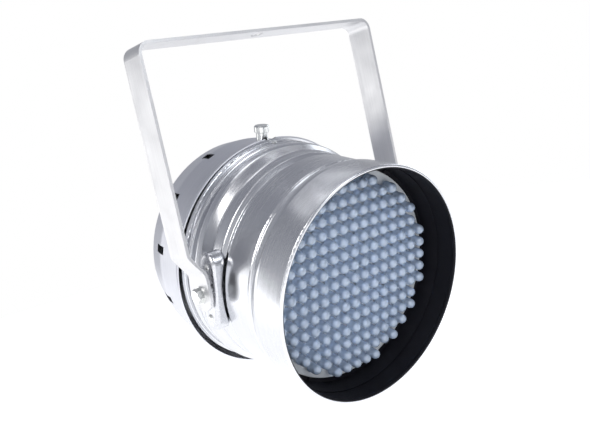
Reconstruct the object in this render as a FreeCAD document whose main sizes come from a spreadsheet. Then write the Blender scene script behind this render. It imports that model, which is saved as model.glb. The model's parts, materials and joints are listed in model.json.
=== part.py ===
"""LED par can: a spun aluminium stage light that hangs in a tilting yoke.

Row frame: origin at the clamp hole in the middle of the yoke's crossbar, +Z up, light
leaves towards -Y.  The can, its rear cap and all that they hold are drawn in the can's
own frame (origin on the tilt axis, Y along the can, rear at +Y) and then tilted.
"""
import FreeCAD, Part

import math
import os
from types import SimpleNamespace

import Sketcher
from FreeCAD import Placement, Rotation, Vector

# ---------------------------------------------------------------- driving dimensions, mm

SIZES = {
    # yoke
    "yoke_width": 283.4,
    "yoke_height": 235.4,
    "yoke_bar": 32.0,
    "yoke_sheet": 3.0,
    "yoke_bend": 12.0,
    "ear_span": 256.0,
    "ear_jog_top": 38.0,
    "ear_jog_bottom": 19.0,
    "ear_end": 16.0,
    "clamp_hole": 12.5,
    "tilt": 15.4,
    # can shell
    "can_wall": 1.2,
    "lip_radius": 115.0,
    "lip_roll": 2.0,
    "front_length": 103.4,
    "front_radius": 114.0,
    "front_groove_radius": 109.6,
    "front_groove_at": 54.5,
    "waist_radius": 111.3,
    "deep_groove_radius": 108.0,
    "deep_groove_at": -10.0,
    "drum_radius": 118.0,
    "drum_at": 25.0,
    "rear_groove_radius": 109.0,
    "rear_groove_at": 34.5,
    "flange_radius": 119.8,
    "flange_at": 48.0,
    # tilt joint
    "bolt": 8.0,
    "bolt_head_across": 13.0,
    "bolt_head_height": 5.3,
    "plate_face": 120.0,
    "plate_sheet": 1.5,
    "plate_width": 23.4,
    "plate_rounding": 4.0,
    "plate_length": 78.0,
    "plate_seat": 110.6,
    "rivet": 4.0,
    "rivet_head": 7.0,
    "rivet_spacing": 51.0,
    # rear cap
    "cap_wall": 1.2,
    "cap_drop": 3.0,
    "cap_gap": 1.0,
    "cap_rim_radius": 124.0,
    "cap_wall_radius": 118.6,
    "cap_shoulder_radius": 116.4,
    "cap_shoulder_at": 97.0,
    "cap_end_radius": 108.5,
    "cap_end_at": 126.0,
    "vent_length": 16.0,
    "vent_width": 8.5,
    "vent_first": 24.0,
    "vent_pitch": 28.0,
    "vent_at": 97.0,
    "screw": 6.0,
    "screw_at": 63.0,
    "screw_head": 16.0,
    "screw_head_height": 7.3,
    "screw_collar": 12.5,
    "screw_collar_height": 9.5,
    "tab_width": 17.0,
    "tab_sheet": 2.5,
    "hinge_width": 44.0,
    "hinge_pin": 3.0,
    "hinge_knuckle": 7.0,
    "hinge_sheet": 1.5,
    # light source
    "led_diameter": 10.0,
    "led_height": 13.0,
    "led_pitch": 13.1,
    "led_tip_at": 77.0,
    "board_radius": 104.5,
    "board_at": 60.0,
    "board_thickness": 1.6,
    "disc_radius": 110.4,
    "disc_thickness": 1.5,
    "ring_front_at": 80.0,
    "ring_sheet": 0.8,
    # inside
    "rod": 5.0,
    "rod_circle": 96.0,
    "chassis_radius": 109.0,
    "chassis_sheet": 1.5,
    "supply_length": 110.0,
    "supply_width": 78.0,
    "supply_depth": 38.0,
    "supply_sheet": 1.0,
    "driver_length": 110.0,
    "driver_width": 52.0,
    "spacer_height": 8.0,
    # control panel on the cap
    "panel_width": 150.0,
    "panel_height": 64.0,
    "panel_sheet": 2.0,
    "socket_bore": 24.0,
    "socket_spacing": 38.0,
    "socket_flange_width": 26.0,
    "socket_flange_height": 31.0,
    "socket_flange": 2.5,
    "socket_depth": 20.0,
    "slider_width": 1.3,
    "slider_pitch": 2.54,
    "slider_travel": 1.8,
    "gland_hole": 12.0,
    "gland_cable": 8.0,
    "fuse_hole": 12.6,
    # clearances
    "clearance": 0.2,
    "running": 0.05,
}


# ---------------------------------------------------------------- smaller fixed details, mm

WAIST_STEP = 0.4  # the waist is a little wider behind the deep groove
RIVET_AT = -0.8  # side plate rivets
TAB_RIVET = 3.2
TAB_RIVET_AT = 43.0
HINGE_RIVET = 3.2
HINGE_CAP_RIVET_AT = 71.0
WASHER_SHEET = 1.6
NUT_HEIGHT = 6.2
SLOT_ROOM = 0.4  # beside the cap screw in its slot
PANEL_LAP = 7.0  # panel over the edge of its opening
PANEL_SCREW = 3.0
LED_REACH = 53  # squares of the grid kept, counted as x * x + z * z
RING_SCREW = 3.0
CABLE = 6.0
CABLE_Z = -22.0
SUPPLY_Z = -2.0
DRIVER_Z = -44.0
SOCKET_IN_X = -52.0
DIP_X = 24.0
SIDE_X = 58.0
GLAND_Z = -14.0
FUSE_Z = 14.0
SLIDERS = 10
SLIDER_TALL = 1.3
BOTH_SIDES = [Placement(), Placement(Vector(0, 0, 0), Rotation(Vector(0, 1, 0), 180))]


class Size:
    """A size that knows its present value and the sheet formula that gives it."""

    def __init__(self, value, formula):
        self.value = float(value)
        self.formula = formula

    def __add__(self, other):
        other = as_size(other)
        return Size(self.value + other.value, f"({self.formula} + {other.formula})")

    def __sub__(self, other):
        other = as_size(other)
        return Size(self.value - other.value, f"({self.formula} - {other.formula})")

    def __mul__(self, other):
        other = as_size(other)
        return Size(self.value * other.value, f"({self.formula} * {other.formula})")

    def __truediv__(self, other):
        other = as_size(other)
        return Size(self.value / other.value, f"({self.formula} / {other.formula})")

    def __neg__(self):
        return Size(-self.value, f"(-{self.formula})")

    def __radd__(self, other):
        return as_size(other) + self

    def __rsub__(self, other):
        return as_size(other) - self

    def __rmul__(self, other):
        return as_size(other) * self


def as_size(number):
    """A Size as it is, or a plain number made into one."""
    return number if isinstance(number, Size) else Size(number, f"({float(number):g})")


def sine(angle):
    return Size(math.sin(math.radians(angle.value)), f"sin({angle.formula} * 1deg)")


def cosine(angle):
    return Size(math.cos(math.radians(angle.value)), f"cos({angle.formula} * 1deg)")


doc = FreeCAD.newDocument("par_can")
sheet = doc.addObject("Spreadsheet::Sheet", "dims")
for row, (alias, value) in enumerate(SIZES.items(), start=1):
    sheet.set(f"A{row}", alias)
    sheet.set(f"B{row}", str(value))
    sheet.setAlias(f"B{row}", alias)
S = SimpleNamespace(**{alias: Size(value, f"dims.{alias}") for alias, value in SIZES.items()})

NODES = []


# ---------------------------------------------------------------- helpers


def bind(thing, prop, size):
    """Ties one property of an object to the sheet."""
    thing.setExpression(prop, as_size(size).formula)


def in_can(thing, drop=0):
    """Poses a sub-part drawn in the can's frame, lowered by drop within that frame."""
    drop = as_size(drop)
    back = drop * sine(S.tilt)
    down = -(S.yoke_height + drop * cosine(S.tilt))
    thing.Placement = Placement(Vector(0, back.value, down.value), Rotation(Vector(1, 0, 0), S.tilt.value))
    bind(thing, "Placement.Base.y", back)
    bind(thing, "Placement.Base.z", down)
    bind(thing, "Placement.Rotation.Angle", S.tilt)


def in_cap(thing):
    """Poses a sub-part drawn in the cap's frame: the cap hangs a little low on its hinge."""
    in_can(thing, S.cap_drop)


def node(thing, name):
    """Marks an object as a finished sub-part and names its file."""
    thing.Label = name
    NODES.append(thing)
    return thing


def new_body(name):
    return doc.addObject("PartDesign::Body", name + "_body")


def new_sketch(body, plane, offset=0):
    """A sketch on one of the body's own origin planes, moved along the plane's normal."""
    sketch = body.newObject("Sketcher::SketchObject", f"{body.Name}_sketch")
    base = next(f for f in body.Origin.OriginFeatures if f.Role == plane + "_Plane")
    sketch.AttachmentSupport = [(base, "")]
    sketch.MapMode = "FlatFace"
    offset = as_size(offset)
    sketch.AttachmentOffset = Placement(Vector(0, 0, offset.value), Rotation())
    bind(sketch, "AttachmentOffset.Base.z", offset)
    return sketch


def pin_point(sketch, geometry, end, point):
    """Ties an end of a line to two distances from the sketch's origin."""
    for kind, size in zip(("DistanceX", "DistanceY"), point):
        size = as_size(size)
        index = sketch.addConstraint(Sketcher.Constraint(kind, -1, 1, geometry, end, size.value))
        sketch.renameConstraint(index, f"{kind}_{geometry}_{end}")
        bind(sketch, f"Constraints.{kind}_{geometry}_{end}", size)


def draw_outline(sketch, corners):
    """A closed outline of straight lines through corners given as (u, v) sizes."""
    points = [Vector(as_size(u).value, as_size(v).value, 0) for u, v in corners]
    first = sketch.GeometryCount
    for start, end in zip(points, points[1:] + points[:1]):
        sketch.addGeometry(Part.LineSegment(start, end))
    for i, corner in enumerate(corners):
        following = first + (i + 1) % len(corners)
        sketch.addConstraint(Sketcher.Constraint("Coincident", first + i, 2, following, 1))
        pin_point(sketch, first + i, 1, corner)


def draw_box(sketch, low, high):
    """A rectangle from its low corner to its high corner."""
    draw_outline(sketch, [low, (high[0], low[1]), high, (low[0], high[1])])


def draw_circle(sketch, centre, diameter):
    """A circle whose centre and diameter follow the sheet."""
    diameter = as_size(diameter)
    middle = Vector(as_size(centre[0]).value, as_size(centre[1]).value, 0)
    index = sketch.addGeometry(Part.Circle(middle, Vector(0, 0, 1), diameter.value / 2))
    pin_point(sketch, index, 3, centre)
    constraint = sketch.addConstraint(Sketcher.Constraint("Diameter", index, diameter.value))
    sketch.renameConstraint(constraint, f"diameter_{index}")
    bind(sketch, f"Constraints.diameter_{index}", diameter)


def draw_hexagon(sketch, centre, across):
    """A hexagon measured across its flats, two of its corners on the sketch's u direction."""
    corner = as_size(across) / math.sqrt(3)
    corners = []
    for i in range(6):
        turn = math.radians(60 * i)
        corners.append((centre[0] + corner * math.cos(turn), centre[1] + corner * math.sin(turn)))
    draw_outline(sketch, corners)


def extrude(body, kind, sketch, length, midplane=False, reverse=False):
    """A Pad or a Pocket of a sketch."""
    feature = body.newObject("PartDesign::" + kind, f"{body.Name}_{kind.lower()}")
    feature.Profile = sketch
    if length is None:
        feature.Type = "ThroughAll"
    else:
        bind(feature, "Length", length)
    feature.Midplane = midplane
    feature.Reversed = reverse
    body.Tip = feature
    return feature


def turn(body, sketch, axis_point=(0, 0), along="u", kind="Revolution"):
    """Revolves a sketch about a line through axis_point along the sketch's u or v direction."""
    u, v = (as_size(x) for x in axis_point)
    far = (u + 10, v) if along == "u" else (u, v + 10)
    line = Part.LineSegment(Vector(u.value, v.value, 0), Vector(far[0].value, far[1].value, 0))
    index = sketch.addGeometry(line, True)
    pin_point(sketch, index, 1, (u, v))
    pin_point(sketch, index, 2, far)
    feature = body.newObject("PartDesign::" + kind, f"{body.Name}_{kind.lower()}")
    feature.Profile = sketch
    feature.ReferenceAxis = (sketch, ["Axis0"])
    feature.Angle = 360
    body.Tip = feature
    return feature


def round_edges(body, radius, chosen, kind="Fillet"):
    """Rounds or bevels the edges of the body's present solid that chosen(edge) picks."""
    doc.recompute()
    base = body.Tip
    names = [f"Edge{i}" for i, edge in enumerate(base.Shape.Edges, start=1) if chosen(edge)]
    feature = body.newObject("PartDesign::" + kind, f"{body.Name}_{kind.lower()}")
    feature.Base = (base, names)
    bind(feature, "Radius" if kind == "Fillet" else "Size", radius)
    body.Tip = feature
    return feature


def turned(name, plane, outline, axis_point=(0, 0), along="u", place=in_can):
    """A sub-part made by revolving one outline; returns its body, not yet a node."""
    body = new_body(name)
    sketch = new_sketch(body, plane)
    draw_outline(sketch, outline)
    turn(body, sketch, axis_point, along)
    place(body)
    return body


def prism(name, plane, draw, length, offset=0, midplane=False, place=in_can):
    """A sub-part made by padding what draw(sketch) draws; returns its body."""
    body = new_body(name)
    sketch = new_sketch(body, plane, offset)
    draw(sketch)
    extrude(body, "Pad", sketch, length, midplane=midplane)
    place(body)
    return body


def cut(body, plane, draw, length=None, offset=0, midplane=False, reverse=False):
    """Pockets what draw(sketch) draws out of a body and makes sure that it cut something."""
    doc.recompute()
    before = body.Shape.Volume
    sketch = new_sketch(body, plane, offset)
    draw(sketch)
    extrude(body, "Pocket", sketch, length, midplane=midplane, reverse=reverse)
    doc.recompute()
    if body.Shape.Volume > before - 0.01:
        raise RuntimeError(f"a pocket in {body.Name} cuts nothing")


def coded(name, shape, place=in_can):
    """A sub-part whose shape is made in code from the sheet's values."""
    feature = doc.addObject("Part::Feature", name + "_shape")
    feature.Shape = shape
    place(feature)
    return node(feature, name)


def copies(source, moves):
    """Solids of a body drawn at its own first place, one for each move."""
    doc.recompute()
    single = source.Tip.Shape
    return [single.transformed(move.toMatrix()) for move in moves]


def group(name, source, moves, place=in_can):
    """Identical pieces in one node."""
    return coded(name, Part.Compound(copies(source, moves)), place)


def shifts(points):
    """Placements that move a copy to each point."""
    return [Placement(Vector(*point), Rotation()) for point in points]


def spun_shell(path, wall):
    """A spun sheet: an open (y, radius, rounding) path about the Y axis, walled inwards."""
    points = [Vector(0, y, radius) for y, radius, rounding in path]
    edges = []
    here = points[0]
    for before, corner, after, (y, radius, rounding) in zip(points, points[1:], points[2:], path[1:]):
        back = (before - corner).normalize()
        ahead = (after - corner).normalize()
        half = back.getAngle(ahead) / 2
        reach = rounding / math.tan(half)
        start = corner + back * reach
        end = corner + ahead * reach
        middle_way = (back + ahead).normalize()
        crown = corner + middle_way * (rounding / math.sin(half) - rounding)
        edges.append(Part.LineSegment(here, start).toShape())
        edges.append(Part.Arc(start, crown, end).toShape())
        here = end
    edges.append(Part.LineSegment(here, points[-1]).toShape())
    sheet_face = Part.Wire(edges).makeOffset2D(wall, fill=True, openResult=True)
    return sheet_face.revolve(Vector(0, 0, 0), Vector(0, 1, 0), 360)


def root(size):
    return Size(math.sqrt(size.value), f"sqrt({size.formula})")


def mirrored(name, source):
    """The right-hand twin of a posed left-hand sub-part."""
    twin = doc.addObject("Part::Mirroring", name + "_twin")
    twin.Source = source
    twin.Normal = Vector(1, 0, 0)
    twin.Base = Vector(0, 0, 0)
    return node(twin, name)


def subtracted(name, base, tools):
    """A sub-part with other drawn solids taken out of it, all in the same frame."""
    result = base
    for i, tool in enumerate(tools):
        step = doc.addObject("Part::Cut", f"{name}_cut{i}")
        step.Base = result
        step.Tool = tool
        result = step
    return node(result, name)


def along_x(edge):
    return edge_along(edge, Vector(1, 0, 0))


def along_y(edge):
    return edge_along(edge, Vector(0, 1, 0))


def edge_along(edge, direction):
    """True for a straight edge parallel to a direction."""
    if edge.Curve.TypeId != "Part::GeomLine":
        return False
    ends = edge.Vertexes
    span = (ends[-1].Point - ends[0].Point).normalize()
    return abs(abs(span.dot(direction)) - 1) < 1e-6


def near(a, b, reach=0.05):
    return abs(a - as_size(b).value) < reach


# ---------------------------------------------------------------- yoke


def make_yoke():
    """One flat bar bent into a U, its ends jogged inwards onto the can."""
    side, ear, wall = S.yoke_width / 2, S.ear_span / 2, S.yoke_sheet
    foot = -(S.yoke_height + S.ear_end)
    low, high = S.ear_jog_bottom - S.yoke_height, S.ear_jog_top - S.yoke_height
    run = root((side - ear) * (side - ear) + (high - low) * (high - low))
    lift = wall * (run - (high - low)) / (side - ear)
    outer = [(ear, foot), (ear, low), (side, high), (side, 0)]
    inner = [(side - wall, -wall), (side - wall, high + lift), (ear - wall, low + lift), (ear - wall, foot)]
    left_outer = [(-u, v) for u, v in outer]
    left_inner = [(-u, v) for u, v in inner]
    body = new_body("yoke")
    sketch = new_sketch(body, "XZ")
    draw_outline(sketch, left_outer + outer[::-1] + inner[::-1] + left_inner)
    extrude(body, "Pad", sketch, S.yoke_bar, midplane=True)

    def corner(x, z):
        return lambda e: along_y(e) and near(abs(e.CenterOfMass.x), x) and near(e.CenterOfMass.z, z)

    def jog(e):
        at = e.CenterOfMass
        return along_y(e) and low.value - 1 < at.z < (high + lift).value + 1

    def ear_end(e):
        return along_x(e) and near(e.CenterOfMass.z, foot)

    round_edges(body, S.yoke_bend, corner(side, 0))
    round_edges(body, S.yoke_bend - wall, corner(side - wall, -wall))
    round_edges(body, S.yoke_bend, jog)
    round_edges(body, S.yoke_bar / 2 - S.clearance, ear_end)
    cut(body, "XY", lambda s: draw_circle(s, (0, 0), S.clamp_hole), midplane=True)
    pivot = (0, -S.yoke_height)
    cut(body, "YZ", lambda s: draw_circle(s, pivot, S.bolt + 2 * S.running), midplane=True)
    node(body, "yoke")


# ---------------------------------------------------------------- can shell


def can_path():
    """Outside of the spun can from the lip to the rear flange: (y, radius, rounding)."""
    front = -S.front_groove_at.value
    deep = S.deep_groove_at.value
    rear = S.rear_groove_at.value
    waist, drum = S.waist_radius.value, S.drum_radius.value
    floor = S.front_groove_radius.value
    back = S.flange_at.value - S.can_wall.value
    return [
        (S.lip_roll.value - S.front_length.value, S.front_radius.value, 0),
        (front - 9, S.front_radius.value, 20),
        (front - 2.6, waist + 0.8, 1.8),
        (front - 1.2, floor, 1.2),
        (front + 1.4, floor, 1.2),
        (front + 3.2, waist, 2.2),
        (deep - 5.5, waist, 2.5),
        (deep - 1.4, S.deep_groove_radius.value, 1.2),
        (deep + 1.4, S.deep_groove_radius.value, 1.2),
        (deep + 5.5, waist + WAIST_STEP, 2.5),
        (S.drum_at.value - 16, waist + WAIST_STEP, 8),
        (S.drum_at.value - 5, drum - 0.8, 10),
        (S.drum_at.value + 4, drum, 5),
        (rear - 1.2, S.rear_groove_radius.value, 1.4),
        (rear + 1.2, S.rear_groove_radius.value, 1.4),
        (rear + 4.2, S.flange_radius.value - 3.4, 2.6),
        (back, S.flange_radius.value - 3.0, 1.2),
        (back, S.flange_radius.value, 0),
    ]


def rolled_lip():
    """The wire edge rolled round the front of the can."""
    roll = S.lip_roll.value
    ring = Part.makeTorus(S.lip_radius.value - roll, roll)
    ring.rotate(Vector(0, 0, 0), Vector(1, 0, 0), 90)
    ring.translate(Vector(0, roll - S.front_length.value, 0))
    return ring


def rivet_points():
    """Centres of one side plate's rivets, (y, z)."""
    return [(RIVET_AT, S.rivet_spacing / 2), (RIVET_AT, -(S.rivet_spacing / 2))]


def make_can():
    shell = spun_shell(can_path(), S.can_wall.value).fuse(rolled_lip())
    reach = S.flange_radius.value
    for y, z in rivet_points():
        hole = Part.makeCylinder(S.rivet.value / 2, 2 * reach, Vector(-reach, y, z.value), Vector(1, 0, 0))
        shell = shell.cut(hole)
    tab_hole = Part.makeCylinder(TAB_RIVET / 2, reach, Vector(0, TAB_RIVET_AT, 0), Vector(0, 0, 1))
    shell = shell.cut(tab_hole)
    for x in hinge_rivet_places():
        at = Vector(x, S.drum_at.value, 0)
        shell = shell.cut(Part.makeCylinder(HINGE_RIVET / 2, reach, at, Vector(0, 0, -1)))
    coded("can_body", shell.removeSplitter())


def hinge_rivet_places():
    return (-S.hinge_width.value / 4, S.hinge_width.value / 4)


# ---------------------------------------------------------------- side plates and tilt joint


def make_side_plate():
    """Pressed capsule plate on the can's flank, its skirt shaped to the can."""
    body = new_body("side_plate")
    sketch = new_sketch(body, "YZ", -S.plate_face)
    half_w, half_l = S.plate_width / 2, S.plate_length / 2
    draw_box(sketch, (-half_w, -half_l), (half_w, half_l))
    depth = S.plate_face - S.plate_seat * 0.92
    extrude(body, "Pad", sketch, depth)
    round_edges(body, half_w - S.running, along_x)
    rim = -S.plate_face
    round_edges(body, S.plate_rounding, lambda e: near(e.CenterOfMass.x, rim))
    doc.recompute()
    base = body.Tip
    open_face = max(range(len(base.Shape.Faces)), key=lambda i: base.Shape.Faces[i].CenterOfMass.x)
    shell = body.newObject("PartDesign::Thickness", "side_plate_shell")
    shell.Base = (base, [f"Face{open_face + 1}"])
    bind(shell, "Value", S.plate_sheet)
    shell.Reversed = True
    shell.Join = 0
    body.Tip = shell
    holes = [((0, 0), S.bolt + 2 * S.clearance)] + [(point, S.rivet) for point in rivet_points()]
    for centre, diameter in holes:
        cut(body, "YZ", lambda s: draw_circle(s, centre, diameter), midplane=True)
    in_can(body)
    seat = S.waist_radius + WAIST_STEP + S.clearance
    drum = S.drum_radius + S.clearance
    envelope = turned(
        "plate_envelope",
        "YZ",
        [
            (-S.plate_width, 0),
            (-S.plate_width, seat),
            (S.drum_at - 16, seat),
            (S.drum_at - 5, drum),
            (S.plate_width, drum),
            (S.plate_width, 0),
        ],
    )
    plate = subtracted("side_plate_left", body, [envelope])
    mirrored("side_plate_right", plate)


def plate_rivets():
    """Four domed rivets that hold the side plates, their tails closed inside the can."""
    head, shank = S.rivet_head / 2, S.rivet / 2
    face = -S.plate_face
    tail = -(S.waist_radius - 5.1)
    outline = [
        (face - 1.7, 0),
        (face - 1.7, head * 0.45),
        (face - 0.9, head * 0.85),
        (face, head),
        (face, shank),
        (tail, shank),
        (tail, shank * 1.3),
        (tail + 1.2, shank * 1.3),
        (tail + 1.2, 0),
    ]
    raised = [(u, v + RIVET_AT) for u, v in outline]
    source = turned("plate_rivet", "XY", raised, axis_point=(0, RIVET_AT))
    up = S.rivet_spacing.value / 2
    moves = shifts([(0, 0, up), (0, 0, -up)])
    return copies(source, [side * move for side in BOTH_SIDES for move in moves])


def make_tilt_joint():
    """Hex bolt, head washer, spacer and captive nut on each side, along the tilt axis."""
    ear = S.ear_span / 2
    washer = as_size(WASHER_SHEET)
    under_head = -(ear + washer)
    bolt_end = -(S.plate_face - S.plate_sheet - NUT_HEIGHT)
    body = new_body("tilt_bolt")
    sketch = new_sketch(body, "YZ", under_head - S.bolt_head_height)
    draw_hexagon(sketch, (0, 0), S.bolt_head_across)
    extrude(body, "Pad", sketch, S.bolt_head_height)
    shank = new_sketch(body, "YZ", under_head)
    draw_circle(shank, (0, 0), S.bolt)
    extrude(body, "Pad", shank, bolt_end - under_head)
    bevel = new_sketch(body, "XY")
    top = under_head - S.bolt_head_height
    rim = S.bolt_head_across / 2
    taper = [(top - 1, rim * 0.93), (top, rim * 0.93), (top + 1.4, rim * 1.2), (top - 1, rim * 1.2)]
    draw_outline(bevel, taper)
    turn(body, bevel, kind="Groove")
    in_can(body)
    mirrored("tilt_bolt_right", node(body, "tilt_bolt_left"))

    def ring(name, start, end, inside, outside):
        source = turned(name, "XY", [(start, inside), (end, inside), (end, outside), (start, outside)])
        group(name, source, BOTH_SIDES)

    ring("head_washers", under_head, -ear, S.bolt / 2 + S.running, S.bolt_head_across / 2 + 2)
    gap = S.ear_span / 2 - S.yoke_sheet
    ring("tilt_spacers", S.clearance / 2 - gap, -S.plate_face, S.bolt / 2 + S.running, S.bolt / 2 + 2.5)
    nut = new_body("tilt_nut")
    hexagon = new_sketch(nut, "YZ", S.plate_sheet - S.plate_face)
    draw_hexagon(hexagon, (0, 0), S.bolt_head_across)
    extrude(nut, "Pad", hexagon, NUT_HEIGHT)
    cut(nut, "YZ", lambda s: draw_circle(s, (0, 0), S.bolt + 2 * S.running), midplane=True)
    group("tilt_nuts", nut, BOTH_SIDES)


# ---------------------------------------------------------------- rear cap


def cap_path():
    """Outside of the spun rear cap from its rim to the middle of its end: (y, radius, rounding)."""
    start = S.flange_at.value + S.cap_gap.value
    rim, wall = S.cap_rim_radius.value, S.cap_wall_radius.value
    end = S.cap_end_at.value
    return [
        (start, rim, 0),
        (start + 8.2, rim - 3.6, 1.0),
        (start + 9.4, wall, 1.4),
        (S.cap_shoulder_at.value, S.cap_shoulder_radius.value, 20),
        (end, S.cap_end_radius.value, 6),
        (end, 0, 0),
    ]


def vent_angles():
    """Angles of the side vents from the top of the cap, in pairs left and right."""
    first, pitch = S.vent_first.value, S.vent_pitch.value
    return [way * (first + k * pitch) for k in range(6) for way in (-1, 1)]


def block(low, high):
    """A solid block between two corners, in code."""
    low, high = (Vector(*[as_size(x).value for x in corner]) for corner in (low, high))
    span = high - low
    return Part.makeBox(span.x, span.y, span.z, low)


def make_cap():
    shell = spun_shell(cap_path(), S.cap_wall.value)
    reach = S.cap_rim_radius.value
    half_l, half_w = S.vent_length.value / 2, S.vent_width.value / 2
    for angle in vent_angles():
        vent = block((-half_w, S.vent_at - half_l, reach - 25), (half_w, S.vent_at + half_l, reach + 5))
        vent.rotate(Vector(0, 0, 0), Vector(0, 1, 0), angle)
        shell = shell.cut(vent)
    slot = S.screw.value / 2 + SLOT_ROOM
    notch = S.screw_collar.value / 2 + SLOT_ROOM
    seat = S.screw_at.value
    front = S.flange_at.value
    shell = shell.cut(block((-slot, front, reach - 20), (slot, seat, reach + 5)))
    shell = shell.cut(Part.makeCylinder(slot, 30, Vector(0, seat, reach - 20)))
    shell = shell.cut(block((-notch, front, reach - 20), (notch, front + 11.5, reach + 5)))
    for x in hinge_rivet_places():
        at = Vector(x, HINGE_CAP_RIVET_AT, 0)
        shell = shell.cut(Part.makeCylinder(HINGE_RIVET / 2, reach, at, Vector(0, 0, -1)))
    wide = S.panel_width / 2 - PANEL_LAP
    tall = S.panel_height / 2 - PANEL_LAP
    behind = S.cap_end_at + 5
    shell = shell.cut(block((-wide, S.cap_end_at - 5, -tall), (wide, behind, tall)))
    for x, z in panel_screw_places():
        hole = Part.makeCylinder(PANEL_SCREW / 2, 12, Vector(x, S.cap_end_at.value - 6, z), Vector(0, 1, 0))
        shell = shell.cut(hole)
    coded("rear_cap", shell, in_cap)


def panel_screw_places():
    """Centres of the panel's four screws, (x, z)."""
    x = S.panel_width.value / 2 - PANEL_LAP / 2
    z = S.panel_height.value / 2 - PANEL_LAP / 2
    return [(x, z), (-x, z), (-x, -z), (x, -z)]


def tab_top():
    """Height of the tab's upper face under the cap's wall."""
    return S.cap_wall_radius - S.cap_drop - S.cap_wall - 1.4


def make_cap_fixing():
    """Joggled tab inside the can, its weld nut, and the thumb screw at the top."""
    low, sheet_t = tab_top(), S.tab_sheet
    high = S.flange_radius - 5.2
    near_y, far_y = TAB_RIVET_AT - 2.6, S.screw_at + 5
    step, edge = S.flange_at - 1.5, S.flange_at + 1.5
    outline = [
        (near_y, high - sheet_t),
        (near_y, high),
        (step, high),
        (edge, low),
        (far_y, low),
        (far_y, low - sheet_t),
        (edge - 1, low - sheet_t),
        (step - 1, high - sheet_t),
    ]
    tab = prism("screw_tab", "YZ", lambda s: draw_outline(s, outline), S.tab_width, midplane=True)
    cut(tab, "XY", lambda s: draw_circle(s, (0, TAB_RIVET_AT), TAB_RIVET), midplane=True)
    cut(tab, "XY", lambda s: draw_circle(s, (0, S.screw_at), S.screw + 2 * S.clearance), midplane=True)
    node(tab, "screw_tab")

    nut = prism(
        "tab_nut",
        "XY",
        lambda s: draw_hexagon(s, (as_size(0), S.screw_at), 10),
        5,
        offset=low - sheet_t - 5,
    )
    cut(nut, "XY", lambda s: draw_circle(s, (0, S.screw_at), S.screw + 2 * S.running), midplane=True)
    node(nut, "tab_nut")
    make_cap_screw(low - sheet_t - 6.5)


def tab_rivets():
    """The rivet that holds the tab under the can's rear flange."""
    high = S.flange_radius - 5.2
    tail = high - S.tab_sheet
    skin = S.flange_radius - 3.0
    shank, axis = TAB_RIVET / 2, TAB_RIVET_AT
    rivet = [
        (axis, skin + 1.5),
        (axis + 1.8, skin + 1.2),
        (axis + 3, skin),
        (axis + shank, skin),
        (axis + shank, tail),
        (axis + 2.5, tail),
        (axis + 2.5, tail - 1),
        (axis, tail - 1),
    ]
    return copies(turned("tab_rivet", "YZ", rivet, (axis, 0), "v"), [Placement()])


def make_cap_screw(foot):
    """Thumb screw with a collar and a broad flat head, down to z = foot."""
    at = S.screw_at
    seat = S.cap_wall_radius - S.cap_drop + S.clearance / 2
    crown = seat + S.screw_collar_height
    top = crown + S.screw_head_height
    head, collar, shank = S.screw_head / 2, S.screw_collar / 2, S.screw / 2
    screw = [
        (at, foot),
        (at + shank - 0.8, foot),
        (at + shank, foot + 0.8),
        (at + shank, seat),
        (at + collar, seat),
        (at + collar, crown),
        (at + head - 0.6, crown),
        (at + head, crown + 0.6),
        (at + head, top - 1.2),
        (at + head - 1.2, top),
        (at, top),
    ]
    node(turned("cap_screw", "YZ", screw, (at, 0), "v"), "cap_screw")


def hinge_axis():
    """The cap hinge's axis under the rim, (y, z) in the can's frame."""
    below = S.cap_drop + S.cap_rim_radius + S.hinge_knuckle / 2 + 2 * S.clearance
    return (S.flange_at - 0.5, -below)


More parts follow.
